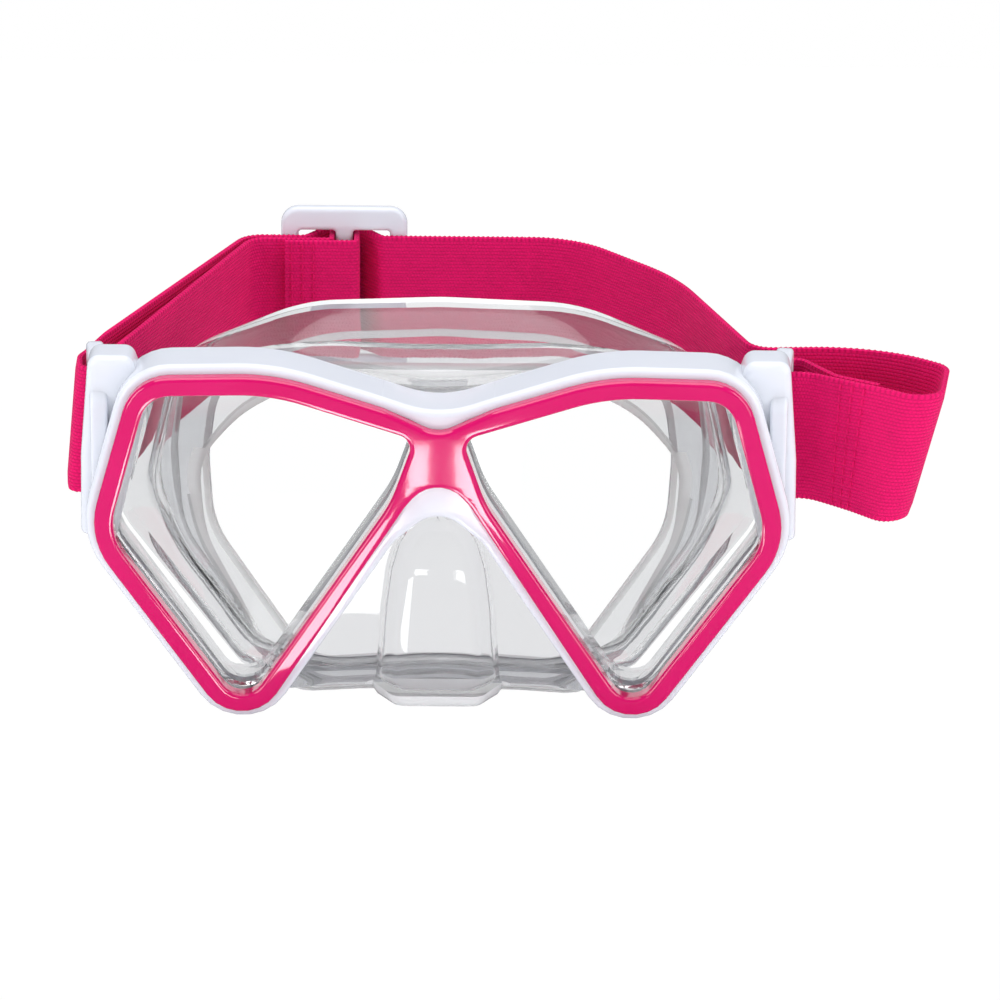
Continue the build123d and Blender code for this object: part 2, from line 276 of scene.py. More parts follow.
def plate(name, outline, holes, front, back, edge):
    """A flat moulding with rounded edges, from one depth to another, with holes through it."""
    curve = bpy.data.curves.new(name, "CURVE")
    curve.dimensions, curve.fill_mode = "2D", "BOTH"
    curve.extrude = (back - front) / 2 - edge
    curve.bevel_depth, curve.bevel_resolution, curve.offset = edge, 5, -edge
    add_loop(curve, *outline)
    for hole in holes:
        add_loop(curve, *hole, turn_round=True)
    piece = bpy.data.objects.new(name, curve)
    bpy.context.scene.collection.objects.link(piece)
    pick_out(piece)
    bpy.ops.object.convert(target="MESH")
    piece = bpy.context.object
    piece.data.transform(Matrix.Translation((0, (front + back) / 2, 0)) @ Matrix.Rotation(pi / 2, 4, "X"))
    tidy_mesh(piece)
    return piece


def finish_piece(piece, material, body, node, angle=35, place=stand, weighted=True):
    """Stands the piece on the table and gives it its finish and its CAD body."""
    piece.data.transform(place)
    piece.data.materials.clear()
    piece.data.materials.append(material)
    pick_out(piece)
    bpy.ops.object.shade_smooth_by_angle(angle=radians(angle))
    if weighted:
        step = piece.modifiers.new("even_shading", "WEIGHTED_NORMAL")
        step.keep_sharp = True
        bpy.ops.object.modifier_apply(modifier="even_shading")
    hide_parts(node)
    if body:
        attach(piece, body)


def socketed(name, inputs, outputs):
    """An empty shader node group with its sockets."""
    group = bpy.data.node_groups.new(name, "ShaderNodeTree")
    for label, kind, value in inputs:
        socket = group.interface.new_socket(name=label, in_out="INPUT", socket_type="NodeSocket" + kind)
        socket.default_value = value
    for label, kind in outputs:
        group.interface.new_socket(name=label, in_out="OUTPUT", socket_type="NodeSocket" + kind)
    return group, group.nodes.new("NodeGroupInput").outputs, group.nodes.new("NodeGroupOutput").inputs


def speckle(tree, scale, detail=None):
    """A noise pattern fixed to the piece."""
    spot, noise = tree.nodes.new("ShaderNodeTexCoord"), tree.nodes.new("ShaderNodeTexNoise")
    dial(noise, Scale=scale)
    if detail is not None:
        dial(noise, Detail=detail)
    tree.links.new(spot.outputs["Object"], noise.inputs["Vector"])
    return noise.outputs[0]


# Moulded skin: a faint flow pattern in the gloss, a hair of orange peel, and a little rubbing.
skin, skin_in, skin_out = socketed(
    "moulded_skin",
    [
        ("Color", "Color", (1, 1, 1, 1)),
        ("Worn Color", "Color", (1, 1, 1, 1)),
        ("Gloss", "Float", 0.2),
        ("Peel", "Float", 0.1),
    ],
    [("Color", "Color"), ("Roughness", "Float"), ("Normal", "Vector")],
)
flow_marks, orange_peel = speckle(skin, 60.0, 3.0), speckle(skin, 900.0, 2.0)
wear_start, wear_share, gloss_change = 0.35, 0.9, 0.06
rubbed = maths(skin, "MULTIPLY", maths(skin, "SUBTRACT", flow_marks, wear_start), wear_share)
ridge = skin.nodes.new("ShaderNodeBump")
dial(ridge, Distance=0.00008)
duller = maths(skin, "ADD", skin_in["Gloss"], maths(skin, "MULTIPLY", flow_marks, gloss_change))
wire(
    skin,
    (color_mix(skin, rubbed, skin_in["Color"], skin_in["Worn Color"]), skin_out["Color"]),
    (duller, skin_out["Roughness"]),
    (orange_peel, ridge.inputs["Height"]),
    (skin_in["Peel"], ridge.inputs["Strength"]),
    (ridge.outputs[0], skin_out["Normal"]),
)


def moulded(name, color, worn, gloss, peel):
    material, tree, shader = new_material(name)
    node = tree.nodes.new("ShaderNodeGroup")
    node.node_tree = skin
    dial(node, Color=(*color, 1), Worn_Color=(*worn, 1), Gloss=gloss, Peel=peel)
    wire(
        tree,
        (node.outputs["Color"], shader.inputs["Base Color"]),
        (node.outputs["Roughness"], shader.inputs["Roughness"]),
        (node.outputs["Normal"], shader.inputs["Normal"]),
    )
    return material, shader


pink_gloss, pink_shader = moulded("pink_gloss", (0.62, 0.0, 0.115), (0.70, 0.005, 0.15), 0.07, 0.05)
dial(pink_shader, Coat_Weight=0.6, Coat_Roughness=0.04)
bezel_outline = butterfly(bezel_band, dip=65.6, arch=(7.0, 49.4), apex=57.6, dip_radius=7.0)
bezel = plate("bezel", bezel_outline, both_windows(0), bezel_front, bezel_back, bezel_edge)
finish_piece(bezel, pink_gloss, "mask", "front_bezel")

# ---- Frame with its strap lugs ----
# The white chassis moulding: a deep ring round both windows with a seat for the bezel, and
# a slotted lug on each side that the strap turns round, braced by a buttress.
frame_depth, frame_edge, frame_band, frame_window_gap = 14, 1.5, 6.2, 2.6
strap_rise, strap_width, strap_thickness = radians(3.5), 30.0, 1.5
strap_height, strap_clearance = 59.5, 3.0
slot_middle, slot_length, slot_radius = 18.6, 5.4, 1.0
lug_front, lug_back, lug_inside, lug_thickness = 3.5, 25.5, 72.6, 3.8
lug_splay, lug_margin, lug_slope, lug_edge = radians(6), 2.4, 7.0, 0.9
lug_radii = [3.0, 3.0, 3.5, 3.5, 1.5]
buttress_corners = [(66.2, 80.4), (75.4, 80.4), (77.2, 58.0), (77.4, 40.0), (70.0, 38.0), (62.5, 70.0)]
buttress_radii = [2.6, 2.6, 10, 1.5, 1.5, 4]
buttress_front, buttress_back, buttress_edge = 4.6, 15.2, 1.8
on_strap = Matrix.Translation((0, 0, strap_height - slot_middle * tan(strap_rise))) @ Matrix.Rotation(strap_rise, 4, "X")


def carve(piece, tool, operation):
    """Joins a second solid on to a piece, or cuts it away."""
    for part in (piece, tool):
        solid = bmesh.new()
        solid.from_mesh(part.data)
        bmesh.ops.triangulate(solid, faces=[f for f in solid.faces if len(f.verts) > 4])
        solid.to_mesh(part.data)
        solid.free()
    step = piece.modifiers.new("carve", "BOOLEAN")
    step.use_self = piece.name.startswith("skirt")
    step.operation, step.object, step.solver = operation, tool, "EXACT"
    bpy.context.view_layer.objects.active = piece
    bpy.ops.object.modifier_apply(modifier="carve")
    bpy.data.objects.remove(tool)


def lug_x(depth):
    return lug_inside + (depth - slot_middle) * tan(lug_splay)


def box_loop(left, right, low, high, radius):
    return [(left, high), (right, high), (right, low), (left, low)], [radius] * 4


white_plastic, white_shader = moulded("white_plastic", (0.74, 0.76, 0.815), (0.69, 0.71, 0.78), 0.16, 0.08)
dial(white_shader, Coat_Weight=0.25, Coat_Roughness=0.08)
dial(white_shader, Subsurface_Weight=0.15, Subsurface_Radius=(0.004, 0.004, 0.0045), Subsurface_Scale=0.5)
frame_outline = butterfly(frame_band, dip=69.2, arch=(9.6, 40.2), apex=48.2, dip_radius=22.0)
frame_ring = plate("frame_ring", frame_outline, both_windows(frame_window_gap), 0, frame_depth, frame_edge)
carve(frame_ring, plate("bezel_seat", bezel_outline, [], -1, bezel_back, 0.1), "DIFFERENCE")

slot_half = (strap_width + strap_clearance) / 2
tall = (strap_width + strap_clearance + 2 * lug_margin) / 2
lug_corners = [
    (lug_front, tall - lug_slope),
    (lug_front + lug_slope, tall),
    (lug_back, tall),
    (lug_back, -tall),
    (lug_front, -tall),
]
slot = box_loop(slot_middle - slot_length / 2, slot_middle + slot_length / 2, -slot_half, slot_half, slot_radius)
sideways = Matrix(((0, -1, 0, 0), (1, 0, 0, 0), (0, 0, 1, 0), (0, 0, 0, 1)))
splayed = Matrix.Translation((lug_inside, slot_middle, 0)) @ Matrix.Rotation(-lug_splay, 4, "Z")
lug_place = on_strap @ splayed @ Matrix.Translation((lug_thickness, -slot_middle, 0)) @ sideways
lugs = []
for side in (1, -1):
    lug = plate("lug", (lug_corners, lug_radii), [slot], 0, lug_thickness, lug_edge)
    lug.data.transform(lug_place)
    if side < 0:
        lug.data.transform(Matrix.Scale(-1, 4, (1, 0, 0)))
    tidy_mesh(lug)
    lugs.append(lug)
    buttress = buttress_corners, buttress_radii
    if side < 0:
        buttress = mirrored_loop(buttress)
    lugs.append(plate("buttress", buttress, [], buttress_front, buttress_back, buttress_edge))
pick_out(frame_ring, *lugs)
bpy.ops.object.join()
finish_piece(frame_ring, white_plastic, "mask", "frame")

# ---- Lenses ----
# Two flat tempered glass panes with a fine ground edge and a faint smear, held in the skirt's groove.
glass, pane_tree, pane = new_material("lens_glass")
dial(pane, Base_Color=(0.995, 1.0, 0.998, 1), IOR=1.12, Transmission_Weight=1.0)
smear_start, smear_end, smear_haze = 0.55, 0.8, 0.03
spread = pane_tree.nodes.new("ShaderNodeMapRange")
dial(spread, From_Min=smear_start, From_Max=smear_end, To_Min=0.0, To_Max=smear_haze)
wire(
    pane_tree,
    (speckle(pane_tree, 25.0), spread.inputs["Value"]),
    (spread.outputs[0], pane.inputs["Roughness"]),
)
for node in ("lens_left", "lens_right"):
    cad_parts[node].data.materials.clear()
    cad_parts[node].data.materials.append(glass)

# ---- Skirt ----
# One soft clear PVC moulding: a seat round each lens, a waisted wall that folds in behind the
# frame, an outer and an inner sealing lip, and a pocket for the nose. Its thick edges get a
# whiter, less clear finish, which paints in the bright highlight that light makes along them.
skirt_wall, inner_lip_wall, pocket_wall = 1.7, 1.5, 1.7
behind_frame, lip_back, lip_width = 14.05, 46.0, 9.0
neck_back = behind_frame + 4.0
spokes, hub = 180, (0.0, 38.0)
spoke_angles = np.linspace(0, 2 * pi, spokes, endpoint=False)
face_half_width, face_top, face_bottom = 60.5, 82.0, -12.3


def soft_pvc(name, tone, clear, gloss, bend):
    material, tree, soft = new_material(name)
    dial(soft, Base_Color=(*tone, 1), Roughness=gloss, IOR=bend, Transmission_Weight=clear)
    dial(soft, Coat_Weight=0.6, Coat_Roughness=0.05)
    ripple = tree.nodes.new("ShaderNodeBump")
    dial(ripple, Strength=0.3, Distance=0.0008)
    wire(tree, (speckle(tree, 60.0, 2.0), ripple.inputs["Height"]), (ripple.outputs[0], soft.inputs["Normal"]))
    return material


def run_of(corners, radii, closed=True):
    """Points along straight runs and round corners."""
    count, points, arc_steps, no_turn = len(corners), [], 8, 1e-4
    for i in range(count):
        here = Vector(corners[i])
        if not closed and i in (0, count - 1):
            points.append(here)
            continue
        before, after = Vector(corners[i - 1]), Vector(corners[(i + 1) % count])
        a, b = (here - before).normalized(), (after - here).normalized()
        turn = a.angle(b)
        if turn < no_turn:
            points.append(here)
            continue
        way = 1 if a.x * b.y - a.y * b.x > 0 else -1
        radius = radii[i] if closed else radii[i - 1]
        start = here - a * radius * tan(turn / 2)
        centre = start + Vector((-a.y, a.x)) * radius * way
        for k in range(arc_steps + 1):
            swing = Matrix.Rotation(way * turn * k / arc_steps, 2)
            points.append(centre + swing @ (start - centre))
    return np.array([tuple(p) for p in points])


def spaced(points, step, closed=False):
    """The same line in equal short steps."""
    if closed:
        points = np.vstack([points, points[:1]])
    legs = np.hypot(*np.diff(points, axis=0).T)
    reach = np.concatenate([[0], np.cumsum(legs)])
    marks = np.linspace(0, reach[-1], max(2, int(round(reach[-1] / step)) + 1))
    return np.stack([np.interp(marks, reach, points[:, k]) for k in (0, 1)], 1), marks


def from_hub(across, high):
    """The angle and distance of points from the hub of the skirt's spokes."""
    return np.arctan2(across - hub[0], high - hub[1]) % (2 * pi), np.hypot(across - hub[0], high - hub[1])


def around(outline):
    """How far the outline is from the hub, at evenly spaced angles."""
    dense = spaced(run_of(*outline), 0.4, closed=True)[0]
    angle = np.unwrap(np.arctan2(dense[:, 0] - hub[0], dense[:, 1] - hub[1]))
    radius = np.hypot(dense[:, 0] - hub[0], dense[:, 1] - hub[1])
    if angle[-1] < angle[0]:
        angle, radius = angle[::-1], radius[::-1]
    order = np.argsort(angle % (2 * pi))
    return np.interp(spoke_angles, (angle % (2 * pi))[order], radius[order], period=2 * pi)


def ring(reach, depth):
    return np.stack(
        [hub[0] + reach * np.sin(spoke_angles), np.full(spokes, float(depth)), hub[1] + reach * np.cos(spoke_angles)], 1
    )


def front_outline(growth):
    brow, outer_top, side, bottom = grown(window_corners, growth)[1:5]
    brow_sag, foot_lift, web_half_width, web = 4.0, 2.2, 24.0, 4.0 - growth
    half = [(0, brow[1] - brow_sag), brow, outer_top, side, (bottom[0], bottom[1] + foot_lift)]
    return both_sides(half + [(web_half_width, web), (0, web + 1.0)], [60, 12, 9, 12, 6, 12, 60])


def face_outline(inset):
    wide, high, low = face_half_width - inset, face_top - inset, face_bottom + inset
    tall = high - low
    half = [(0, high), (0.50 * wide, high - 1.2), (0.955 * wide, high - 0.135 * tall), (wide, low + 0.64 * tall)]
    half += [(0.98 * wide, low + 0.42 * tall), (0.56 * wide, low), (0.30 * wide, low + 1.0), (0, low + 1.4)]
    return both_sides(half, [60, 40, 14, 30, 22, 9, 30, 60])


def grid_piece(name, rows):
    """A tube of quads through rows of points, each row closed on itself."""
    rows = np.concatenate([rows, rows[:, :1]], 1)
    bpy.ops.object.select_all(action="DESELECT")
    bpy.ops.mesh.primitive_grid_add(x_subdivisions=rows.shape[1] - 1, y_subdivisions=rows.shape[0] - 1, size=1)
    piece = bpy.context.object
    piece.name = name
    piece.data.vertices.foreach_set("co", rows.astype(np.float32).ravel())
    return piece


def close_ends(piece, rows, ends):
    """Caps over the first or last row of a tube, then its seam closed."""
    row_length = rows.shape[1]
    solid = bmesh.new()
    solid.from_mesh(piece.data)
    solid.verts.ensure_lookup_table()
    for end in ends:
        start = end * (rows.shape[0] - 1) * (row_length + 1)
        solid.faces.new([solid.verts[start + i] for i in range(row_length)])
    solid.to_mesh(piece.data)
    solid.free()
    tidy_mesh(piece)


def shell(name, rows, ends=()):
    """A band of skin through a row of rings, with its first or last ring filled."""
    rows = np.array(rows)
    piece = grid_piece(name, rows)
    close_ends(piece, rows, ends)
    return piece


def thicken(piece, thickness):
    step = piece.modifiers.new("wall", "SOLIDIFY")
    step.thickness, step.offset, step.use_even_offset = thickness, -1.0, True
    bpy.context.view_layer.objects.active = piece
    bpy.ops.object.modifier_apply(modifier="wall")


def wall_reach(depth, waist):
    share = (depth - neck_back) / (lip_back - neck_back)
    return neck_reach * (1 - share) + lip_reach * share - waist


# The side wall, from a bead behind the frame through the waist, and round into the outer lip.
neck_reach, lip_reach = around(front_outline(-0.6)), around(face_outline(0))
bead = ((0.0, 1.6), (0.25, 2.3), (1.0, 2.4), (2.2, 1.4))
waist_rows = ((20.5, 0.9), (23.5, 1.9), (26.5, 2.1), (29.5, 1.6), (33.0, 0.8), (37.0, 0.2), (41.0, 0.0), (44.0, 0.0))
lip_curl = ((45.4, 0.15), (46.0, 0.7), (46.2, 1.8), (46.0, 3.6), (45.6, 5.6), (45.2, 7.6), (45.0, lip_width))
wall_rows = [ring(around(front_outline(growth)), behind_frame + further) for further, growth in bead]
wall_rows.append(ring(neck_reach, neck_back))
wall_rows += [ring(wall_reach(depth, waist), depth) for depth, waist in waist_rows]
wall_rows += [ring(around(face_outline(inset)), depth) for depth, inset in lip_curl]
skirt = shell("skirt_shell", wall_rows, ends=(0,))
thicken(skirt, skirt_wall)

# The inner lip, a soft flap that leaves the wall further forward.
inner_half = [(0, 67.4), (27, 66.6), (44, 57.5), (54, 46.5), (53, 28), (40, 1.0), (20, -6.4), (0, -5.6)]
inner_edge = around(both_sides(inner_half, [60, 30, 30, 14, 30, 12, 20, 60]))
root_depth, root_waist = 33.5, 1.7
root = wall_reach(root_depth, root_waist)
lip_rows = [ring(root, root_depth)]
for depth, share in ((35.5, 0.30), (37.5, 0.65), (38.8, 0.90), (39.2, 1.0)):
    lip_rows.append(ring(root * (1 - share) + inner_edge * share, depth))
inner_lip = shell("inner_lip", lip_rows)
thicken(inner_lip, inner_lip_wall)
tidy_mesh(inner_lip)
carve(skirt, inner_lip, "UNION")


def pocket(name, inset, back):
    """The nose pocket's outside, or with an inset its hollow."""
    full_height, shoulder_depth, side_steps = 43.2, 13.0, 72
    floor = 3.0 if inset else 0.0
    rows = []
    for height, wide_back, wide_front, front in (
        (0.0, 12.6, 7.6, 6.6),
        (0.5, 13.8, 8.8, 5.4),
        (1.5, 14.5, 9.5, 4.8),
        (3.0, 14.6, 9.6, 4.7),
        (4.6, 13.9, 9.1, 5.2),
        (10.0, 13.5, 8.8, 5.5),
        (20.0, 13.0, 8.4, 5.8),
        (30.0, 11.8, 7.6, 6.6),
        (36.0, 10.2, 6.4, 7.8),
        (39.5, 8.4, 5.0, 9.2),
        (42.0, 6.0, 3.2, 11.0),
        (full_height, 3.4, 1.6, 12.8),
    ):
        height = floor + height * (full_height - inset - floor) / full_height
        wide_back, wide_front = max(wide_back - inset, 0.8), max(wide_front - inset * 0.8, 0.5)
        front = min(front + inset, back - 1.0)
        half = [(wide_front, front), (wide_back * 0.96, shoulder_depth), (wide_back, back)]
        plan = [(-x, y) for x, y in reversed(half)] + half
        nose_radius = min(3.0, wide_front * 0.6)
        radii = [0.2, 1.0, nose_radius, nose_radius, 1.0, 0.2]
        curve = spaced(run_of(plan, radii), 0.1, closed=True)[0][:-1]
        pick = np.linspace(0, len(curve), side_steps, endpoint=False).astype(int)
        rows.append([(x, y, height) for x, y in curve[pick]])
    return shell(name, rows, ends=(0, 1))


# A seat, a way through and a groove for each lens, then the pocket and its hollow.
seat_front, seat_growth, tunnel_growth, groove_growth = 2.1, 2.55, 0.4, 1.85
for seat, tunnel, groove in zip(both_windows(seat_growth), both_windows(tunnel_growth), both_windows(groove_growth)):
    carve(skirt, plate("seat", seat, [], seat_front, behind_frame + 0.6, 0.4), "UNION")
    carve(skirt, plate("tunnel", tunnel, [], 0.5, behind_frame + 3.5, 0.05), "DIFFERENCE")
    carve(skirt, plate("groove", groove, [], 3.55, 6.65, 0.05), "DIFFERENCE")
carve(skirt, pocket("pocket_out", 0.0, behind_frame + 1.2), "UNION")
carve(skirt, pocket("pocket_in", pocket_wall, behind_frame + 4.0), "DIFFERENCE")

# The rims of both lips and the pocket's foot are solid; their whiter, less clear finish is a painted highlight.
clear_pvc = soft_pvc("clear_pvc", (0.79, 0.795, 0.81), 0.975, 0.04, 1.15)
bright_rim_pvc = soft_pvc("clear_pvc_edges", (0.93, 0.94, 0.94), 0.35, 0.15, 1.3)
centres = np.zeros(len(skirt.data.polygons) * 3, np.float32)
skirt.data.polygons.foreach_get("center", centres)
across, depth, high = centres.reshape(-1, 3).T
angle, reach = from_hub(across, high)
from_lip, from_hole, from_inner = (
    reach - np.interp(angle, spoke_angles, edge, period=2 * pi)
    for edge in (lip_reach, around(face_outline(lip_width)), inner_edge)
)
bright_rims = (depth > 44.2) & (from_lip > -2.2)
bright_rims |= (depth > 42.8) & (np.abs(from_hole) < 1.5)
bright_rims |= (depth > 36.5) & (depth < 41.5) & (np.abs(from_inner) < 1.7)
bright_rims |= (high < 3.4) & (np.abs(across) < 15.5) & (depth < 15.4)
finish_piece(skirt, clear_pvc, "mask", "skirt", angle=50)
skirt.data.materials.append(bright_rim_pvc)
skirt.data.polygons.foreach_set("material_index", bright_rims.astype(np.int32))

# ---- Head strap ----
# 30 mm woven elastic in bright pink, 1.5 mm thick, with ribs along its length and looped
# selvedges. Its right end folds back in a slack loop and is sewn down; its left end runs
# double to the slider.
# The weave's height also serves as its painted shade: the pink is coloured darker where the weave lies low, in the
# grooves between ribs and loops.
weave, weave_in, weave_out = socketed(
    "elastic_weave", [("Rib", "Float", 0.8), ("Stitch", "Float", 0.75)], [("Height", "Float"), ("Groove Shade", "Float")]
)
loop_pitch, selvedge_start = 1.1, 13.9


def ripple_of(count):
    """A round bump across each whole number of a pattern."""
    return maths(weave, "SINE", maths(weave, "MULTIPLY", maths(weave, "FRACT", count), pi))


cloth_uv, axes = weave.nodes.new("ShaderNodeUVMap"), weave.nodes.new("ShaderNodeSeparateXYZ")
weave.links.new(cloth_uv.outputs[0], axes.inputs[0])
along, across = axes.outputs[0], axes.outputs[1]
rib = maths(weave, "DIVIDE", across, weave_in["Rib"])
half_turn = maths(weave, "MULTIPLY", maths(weave, "FLOOR", rib), 0.5)
knot = maths(weave, "ADD", maths(weave, "DIVIDE", along, weave_in["Stitch"]), half_turn)
rib_round = maths(weave, "POWER", ripple_of(rib), 0.6)
knot_round = maths(weave, "ADD", maths(weave, "MULTIPLY", ripple_of(knot), 0.5), 0.5)
body_height = maths(weave, "MULTIPLY", rib_round, knot_round)
loop_round = ripple_of(maths(weave, "DIVIDE", along, loop_pitch))
from_middle = maths(weave, "ABSOLUTE", maths(weave, "SUBTRACT", across, strap_width / 2))
selvedge = maths(weave, "GREATER_THAN", from_middle, selvedge_start)
body_part = maths(weave, "MULTIPLY", body_height, maths(weave, "SUBTRACT", 1.0, selvedge))
height = maths(weave, "ADD", body_part, maths(weave, "MULTIPLY", loop_round, selvedge))
wire(weave, (height, weave_out["Height"]), (height, weave_out["Groove Shade"]))

# Painted shade: the strap's pink runs from the darker colour in the weave's grooves to the lighter one on its rib tops,
# and also varies in random patches of tone.
groove_shade_and_patch_pink, rib_light_and_patch_pink = (0.50, 0.0, 0.085), (0.80, 0.0, 0.130)
elastic, tree, yarn = new_material("pink_elastic")
dial(yarn, Roughness=0.85, Specular_IOR_Level=0.25)
dial(yarn, Sheen_Weight=0.06, Sheen_Roughness=0.4, Sheen_Tint=(1.0, 0.35, 0.6, 1))
knit = tree.nodes.new("ShaderNodeGroup")
knit.node_tree = weave
groove_shade_share = maths(tree, "MULTIPLY", knit.outputs["Groove Shade"], 0.7)
patchy = maths(tree, "MULTIPLY", speckle(tree, 220.0, 4.0), 0.5)
fuzz = tree.nodes.new("ShaderNodeBump")
dial(fuzz, Strength=0.7, Distance=0.0003)
wire(
    tree,
    (color_mix(tree, maths(tree, "ADD", groove_shade_share, patchy), groove_shade_and_patch_pink, rib_light_and_patch_pink), yarn.inputs["Base Color"]),
    (knit.outputs["Height"], fuzz.inputs["Height"]),
    (fuzz.outputs[0], yarn.inputs["Normal"]),
)


def webbing(name, route, radii, lean_over=None):
    """A length of the strap along its route, as (x, depth), standing on edge."""
    row_step, edge_round, edge_share, face_points, loop_drop = 0.55, 0.4, 0.72, 13, 0.34
    line, marks = spaced(run_of(route, radii, closed=False), row_step)
    ahead = np.gradient(line, axis=0)
    ahead /= np.hypot(*ahead.T)[:, None]
    side = np.stack([-ahead[:, 1], ahead[:, 0]], 1)
    half, wide = strap_thickness / 2, strap_width / 2
    face = np.linspace(-wide + edge_round, wide - edge_round, face_points)
    section = [(half * (edge_share if i in (0, face_points - 1) else 1.0), z) for i, z in enumerate(face)] + [(0.0, wide)]
    section += [(-n, z) for n, z in reversed(section[:-1])] + [(0.0, -wide)]
    rows = np.zeros((len(line), len(section), 3))
    for j, (off, z) in enumerate(section):
        rows[:, j, 0] = line[:, 0] + side[:, 0] * off
        rows[:, j, 1] = line[:, 1] + side[:, 1] * off
        rows[:, j, 2] = z
        if off == 0.0:
            rows[:, j, 2] -= np.sign(z) * loop_drop * (np.arange(len(line)) % 2)
    if lean_over:
        rows[:, :, 0] += lean_over(rows[:, :, 0], rows[:, :, 2])
    piece = grid_piece(name, rows)
    corner = np.zeros(len(piece.data.loops), np.int32)
    piece.data.loops.foreach_get("vertex_index", corner)
    heights = np.array([z for off, z in section] + [section[0][1]]) + wide
    mapped = np.stack([marks[corner // len(heights)], heights[corner % len(heights)]], 1)
    piece.data.uv_layers[0].data.foreach_set("uv", mapped.astype(np.float32).ravel())
    close_ends(piece, rows, ends=(0, 1))
    return piece


def toward(start, end, distance):
    start, end = Vector(start), Vector(end)
    return tuple(start + (end - start).normalized() * distance)


def beside(points, distance):
    """An open line of points moved to its left."""
    moved, last = [], len(points) - 1
    for i, here in enumerate(points):
        before, after = Vector(points[max(i - 1, 0)]), Vector(points[min(i + 1, last)])
        a = (Vector(here) - before).normalized() if i else (after - Vector(here)).normalized()
        b = (after - Vector(here)).normalized() if i < last else a
        half = (Vector((-a.y, a.x)) + Vector((-b.y, b.x))).normalized()
        moved.append(tuple(Vector(here) + half * distance / half.dot(Vector((-a.y, a.x)))))
    return moved


def fold_lean(x, z):
    """The slack fold on the right leans outward at its top."""
    share = np.clip((x - 80.0) / 24.0, 0, 1)
    return share * share * (3 - 2 * share) * z * 0.24


def loop_lean(x, z):
    """The slack loop on the left bulges at its foot."""
    share = np.clip((-74.0 - x) / 5.0, 0, 1)
    return share * z * 0.09


body_gap, post_gap, half_thick = 0.1, 0.5, strap_thickness / 2
slider_x, slider_y, slider_length, slider_bar, slider_depth = -23.0, 103.0, 29.0, 4.0, 3.0
end_reach, back_stretch, back_straight = 2.0, 25.0, 11.5
slot_pitch = (slider_length - 3 * slider_bar) / 2
bar_offset = slider_bar + slot_pitch
slider_left, slider_right = slider_x - slider_length / 2, slider_x + slider_length / 2
slider_front, slider_back = slider_y - slider_depth / 2, slider_y + slider_depth / 2
left_end, right_end = slider_left - end_reach, slider_right + end_reach
slot_left, slot_right = slider_x - bar_offset / 2, slider_x + bar_offset / 2
layer = strap_thickness + body_gap
on_bar = slider_front - body_gap - half_thick
around_bar = slider_back + body_gap + half_thick
behind_bar = around_bar + layer
loop_half = slider_bar / 2 + body_gap + half_thick
sewn_entry, sewn_fold = on_bar - layer, on_bar - 2 * layer
fold_edge = slider_left + 1.0
back_start = right_end + back_stretch
post_inside = lug_x(lug_back) - post_gap - half_thick
post_behind = lug_back + post_gap + half_thick
strap_stand = stand @ on_strap

right_route = [
    (back_start, on_bar),
    (back_start + back_straight, on_bar),
    (52.5, 76.0),
    (68.6, 32.6),
    (93.0, 34.0),
    (107.0, 23.0),
    (104.0, 1.8),
    (92.0, 11.0),
    (80.5, slot_middle),
    (lug_x(slot_middle) + lug_thickness / 2, slot_middle),
]
tail = beside(right_route[-4:], -layer)
wrap_route = [
    right_route[-1],
    (post_inside, slot_middle),
    (post_inside, post_behind),
    (lug_x(lug_back) + lug_thickness + 2.0, post_behind),
    toward(tail[1], tail[2], 9.0),
    tail[1],
]
outer_slack, outer_turn = (-79.9, slot_middle + slot_length / 2 + 3.2), (-79.0, slot_middle - 0.7)
inner_turn = (1.0 - post_inside, lug_back + 4.4)
outer_far, inner_far = (left_end - 6.0, on_bar), (left_end - 4.6, sewn_entry)
left_loop = [
    toward(outer_slack, outer_far, 12.0),
    outer_slack,
    outer_turn,
    (-post_inside, slot_middle),
    inner_turn,
    toward(inner_turn, inner_far, 6.0),
]
through_slider = [
    (right_end, on_bar),
    (slot_right + 2.6, on_bar),
    (slot_right - 2.2, behind_bar),
    (slot_left + 2.2, behind_bar),
    (slot_left - 2.6, on_bar),
    (left_end, on_bar),
]
sewn_end = [
    (left_end, sewn_entry),
    (slider_x - loop_half, sewn_entry),
    (slider_x - loop_half, around_bar),
    (slider_x + loop_half, around_bar),
    (slider_x + loop_half, sewn_fold),
    (fold_edge, sewn_fold),
]

# Each length is its route, its bend radii, its lean, and the body it rides on. A length between
# the mask and the slider is left on no body, and has the points between which it stretches instead.
stretch_start = 30.0
left_stretch = left_loop[0][0], left_loop[-1][0]
lengths = {
    "back": ([(right_end, on_bar), (back_start, on_bar)], [], None, (stretch_start, right_end)),
    "right_run": (right_route, [22.0, 50.0, 6.0, 30.0, 5.0, 5.0, 40.0, 8.0], fold_lean, (stretch_start, right_end)),
    "right_wrap": (wrap_route, [1.0, 1.0, 3.0, 3.0], fold_lean, "mask"),
    "left_outer": ([(left_end, on_bar), outer_far, left_loop[0]], [6.0], loop_lean, (left_stretch[0], left_end)),
    "left_inner": ([(left_end, sewn_entry), inner_far, left_loop[-1]], [5.0], None, (left_stretch[1], left_end)),
    "left_loop": (left_loop, [6.0, 2.2, 1.2, 8.0], loop_lean, "mask"),
    "through_slider": (through_slider, [1.6] * 4, None, "slider"),
    "sewn_end": (sewn_end, [0.9] * 4, None, "slider"),
}
for name, (route, radii, lean_over, holder) in lengths.items():
    piece = webbing("webbing_" + name, route, radii, lean_over)
    body = holder if isinstance(holder, str) else None
    finish_piece(piece, elastic, body, "strap_" + name, angle=40, place=strap_stand, weighted=False)
    if body is None:
        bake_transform(piece)

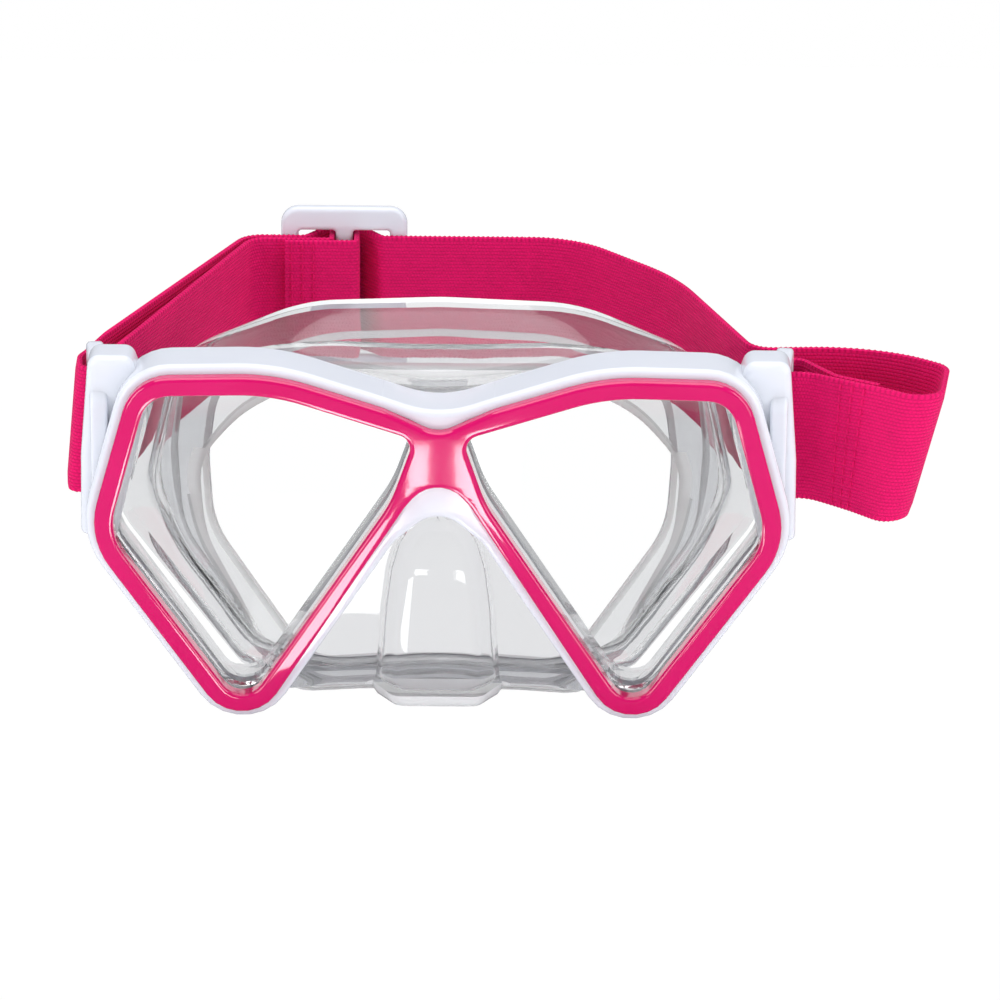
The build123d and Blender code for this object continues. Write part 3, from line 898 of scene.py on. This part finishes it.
# ---- Slider ----
# The white three-bar adjuster that the strap threads through, moulded in one piece with soft corners.
rail, rail_width, slider_corner, slider_edge = slot_half, 4.6, 4.0, 1.1
slider_slot_half, slider_slot_radius = 15.5, 0.8
slots = [
    box_loop(middle - slot_pitch / 2, middle + slot_pitch / 2, -slider_slot_half, slider_slot_half, slider_slot_radius)
    for middle in (slot_left, slot_right)
]
slider_outline = box_loop(slider_left, slider_right, -rail - rail_width, rail + rail_width, slider_corner)
adjuster = plate("adjuster", slider_outline, slots, slider_front, slider_back, slider_edge)
finish_piece(adjuster, white_plastic, "slider", "slider", place=strap_stand)

# ---- Stitching ----
# Rows of polyester thread that hold the two turned ends of the strap: each stitch is a short
# rounded length lying on the cloth.
thread = elastic.copy()
thread.name = "pink_thread"
rows_in, stitches, stitch_pitch, stitch_lift = (1.5, 4.0, 6.5), 12, 2.4, 0.12
stitch_shape = Matrix.Diagonal((0.5, 0.62, 1.75, 1))


def stitch_rows(name, columns, facing, node, body, lean_over=None):
    threads = []
    for place in columns:
        for i in range(stitches):
            bpy.ops.object.select_all(action="DESELECT")
            bpy.ops.mesh.primitive_uv_sphere_add(segments=8, ring_count=6, radius=0.5)
            one = bpy.context.object
            where = Matrix.Translation((*place, (i - (stitches - 1) / 2) * stitch_pitch))
            one.data.transform(where @ Matrix.Rotation(facing, 4, "Z") @ stitch_shape)
            threads.append(one)
    pick_out(*threads)
    bpy.ops.object.join()
    seam = bpy.context.object
    seam.name = name
    if lean_over:
        flat = np.array([v.co for v in seam.data.vertices])
        flat[:, 0] += lean_over(flat[:, 0], flat[:, 2])
        seam.data.vertices.foreach_set("co", flat.astype(np.float32).ravel())
    finish_piece(seam, thread, body, node, angle=60, place=strap_stand, weighted=False)


slider_columns = [(fold_edge + reach, sewn_fold - half_thick - stitch_lift) for reach in rows_in]
stitch_rows("slider_seam", slider_columns, 0.0, "slider_stitching", "slider")
front_face = beside(right_route[-4:], half_thick + stitch_lift)
down_strap = Vector(front_face[2]) - Vector(front_face[1])
lug_columns = [toward(front_face[1], front_face[2], reach) for reach in rows_in]
stitch_rows("lug_seam", lug_columns, atan2(down_strap.y, down_strap.x), "lug_stitching", "mask", fold_lean)
